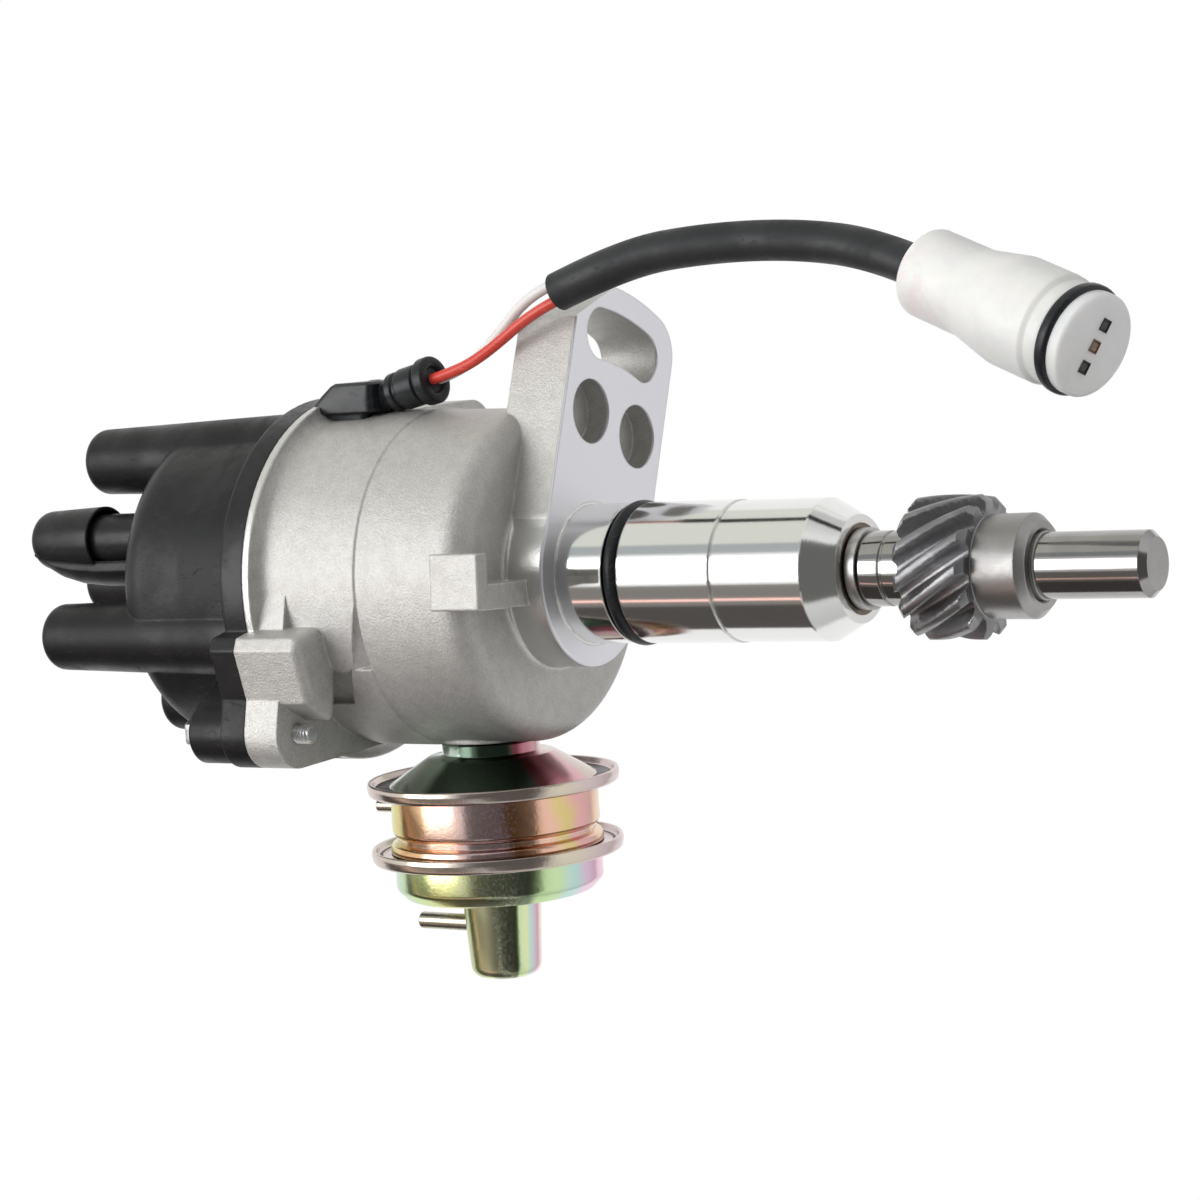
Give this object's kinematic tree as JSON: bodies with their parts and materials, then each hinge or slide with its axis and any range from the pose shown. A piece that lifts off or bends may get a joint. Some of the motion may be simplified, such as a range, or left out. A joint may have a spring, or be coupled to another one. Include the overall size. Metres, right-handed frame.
{
  "type": "ignition distributor",
  "caption": "Ignition distributor with black cap and lead towers, cast body with slotted clamp arm, vacuum advance, helical gear and a cable with a round plug.",
  "frame": {"origin": "on the drive shaft axis in the plane of the seat face that rests on the engine block", "axes": "+Z along the shaft towards the cap, -X along the vacuum unit, +X towards the clamp arm's side"},
  "size_m": [0.1454, 0.0806, 0.2478],
  "materials": {
    "cast_aluminium": "fine sand-cast texture, satin",
    "ground_steel": "ground, bright",
    "gear_steel": "cut and oiled, dark grey",
    "pressed_steel": "plain pressed steel, satin",
    "bright_zinc": "bright zinc plate",
    "yellow_zinc": "iridescent yellow chromate on zinc plate",
    "spring_steel": "bright wire",
    "black_moulding": "satin black thermoset",
    "rotor_moulding": "satin black thermoset",
    "brass": "turned, satin",
    "bronze": "sintered, matte",
    "carbon": "matte carbon",
    "magnet": "sintered, matte",
    "coil_tape": "varnished winding",
    "black_rubber": "matte",
    "sleeve_tube": "matte charcoal tubing",
    "red_insulation": "satin",
    "white_insulation": "satin",
    "clear_nylon": "translucent milky nylon, satin"
  },
  "bodies": {
    "housing": {"housing": "cast_aluminium", "shank_o_ring": "black_rubber", "upper_bush": "bronze", "lower_bush": "bronze", "shaft_seal": "black_rubber", "fixed_plate": "pressed_steel", "plate_screws": "bright_zinc", "plate_retainer": "spring_steel", "distributor_cap": "black_moulding", "cap_seal": "black_rubber", "cap_terminals": "brass", "center_terminal": "brass", "brush_spring": "spring_steel", "breather_hood": "black_moulding", "cap_screw_1": "bright_zinc", "cap_screw_2": "bright_zinc", "vacuum_cover": "yellow_zinc", "vacuum_screws": "bright_zinc", "vacuum_can_middle": "yellow_zinc", "vacuum_can_outer": "yellow_zinc", "hose_nipple_upper": "yellow_zinc", "hose_nipple_lower": "yellow_zinc", "diaphragm_main": "black_rubber", "diaphragm_sub": "black_rubber", "vacuum_spring": "spring_steel", "cup_spring": "spring_steel", "outlet_grommet": "black_rubber", "lead_red": "red_insulation", "lead_white": "white_insulation", "harness_sleeve": "sleeve_tube", "connector_housing": "clear_nylon", "connector_seal": "black_rubber", "connector_terminals": "brass"},
    "shaft": {"drive_shaft": "ground_steel", "drive_gear": "gear_steel", "gear_pin": "ground_steel", "thrust_washer": "pressed_steel", "governor_plate": "pressed_steel", "weight_pins": "ground_steel", "governor_spring_1": "spring_steel", "governor_spring_2": "spring_steel", "cam_screw": "bright_zinc"},
    "weight_1": {"governor_weight_1": "gear_steel"},
    "weight_2": {"governor_weight_2": "gear_steel"},
    "cam": {"cam_sleeve": "pressed_steel", "signal_rotor": "pressed_steel", "rotor_key": "ground_steel", "rotor_arm": "rotor_moulding", "rotor_blade": "brass", "rotor_spring_clip": "spring_steel"},
    "pickup": {"pickup_plate": "pressed_steel", "rod_pin": "ground_steel", "rod_e_clip": "spring_steel", "pickup_core": "pressed_steel", "pickup_coil": "coil_tape", "pickup_magnet": "magnet", "pickup_screws": "bright_zinc"},
    "pull_rod": {"advance_rod": "pressed_steel"},
    "brush": {"carbon_brush": "carbon"}
  },
  "joints": [
    {"name": "shaft_spin", "type": "hinge", "parent": "housing", "child": "shaft", "pos_m": [0, 0, 0], "axis": [0, 0, 1], "continuous": true},
    {"name": "cam_advance", "type": "hinge", "parent": "shaft", "child": "cam", "pos_m": [0, 0, 0], "axis": [0, 0, -1], "range_deg": [0, 8], "stiffness_Nm_per_rad": 0.4, "springref_deg": -2.86},
    {"name": "weight_1_swing", "type": "hinge", "parent": "shaft", "child": "weight_1", "pos_m": [0.0165, 0, 0.013], "axis": [0, 0, -1], "range_deg": [0, 15.2]},
    {"name": "weight_2_swing", "type": "hinge", "parent": "shaft", "child": "weight_2", "pos_m": [-0.0165, 0, 0.013], "axis": [0, 0, -1], "range_deg": [0, 15.2]},
    {"name": "plate_advance", "type": "hinge", "parent": "housing", "child": "pickup", "pos_m": [0, 0, 0.025], "axis": [0, 0, -1], "range_deg": [0, 10], "stiffness_Nm_per_rad": 0.5, "springref_deg": -2.86},
    {"name": "rod_slide", "type": "slide", "parent": "housing", "child": "pull_rod", "axis": [-1, 0, 0], "range_m": [0, 0.00325]},
    {"name": "brush_slide", "type": "slide", "parent": "housing", "child": "brush", "axis": [0, 0, 1], "range_m": [0, 0.0012], "stiffness_N_per_m": 300, "springref_m": -0.003}
  ],
  "couplings": [
    {"joint": "weight_1_swing", "follows": "cam_advance", "ratio": 1.875},
    {"joint": "weight_2_swing", "follows": "cam_advance", "ratio": 1.875},
    {"joint": "rod_slide", "follows": "plate_advance", "m_per_rad": 0.018}
  ]
}
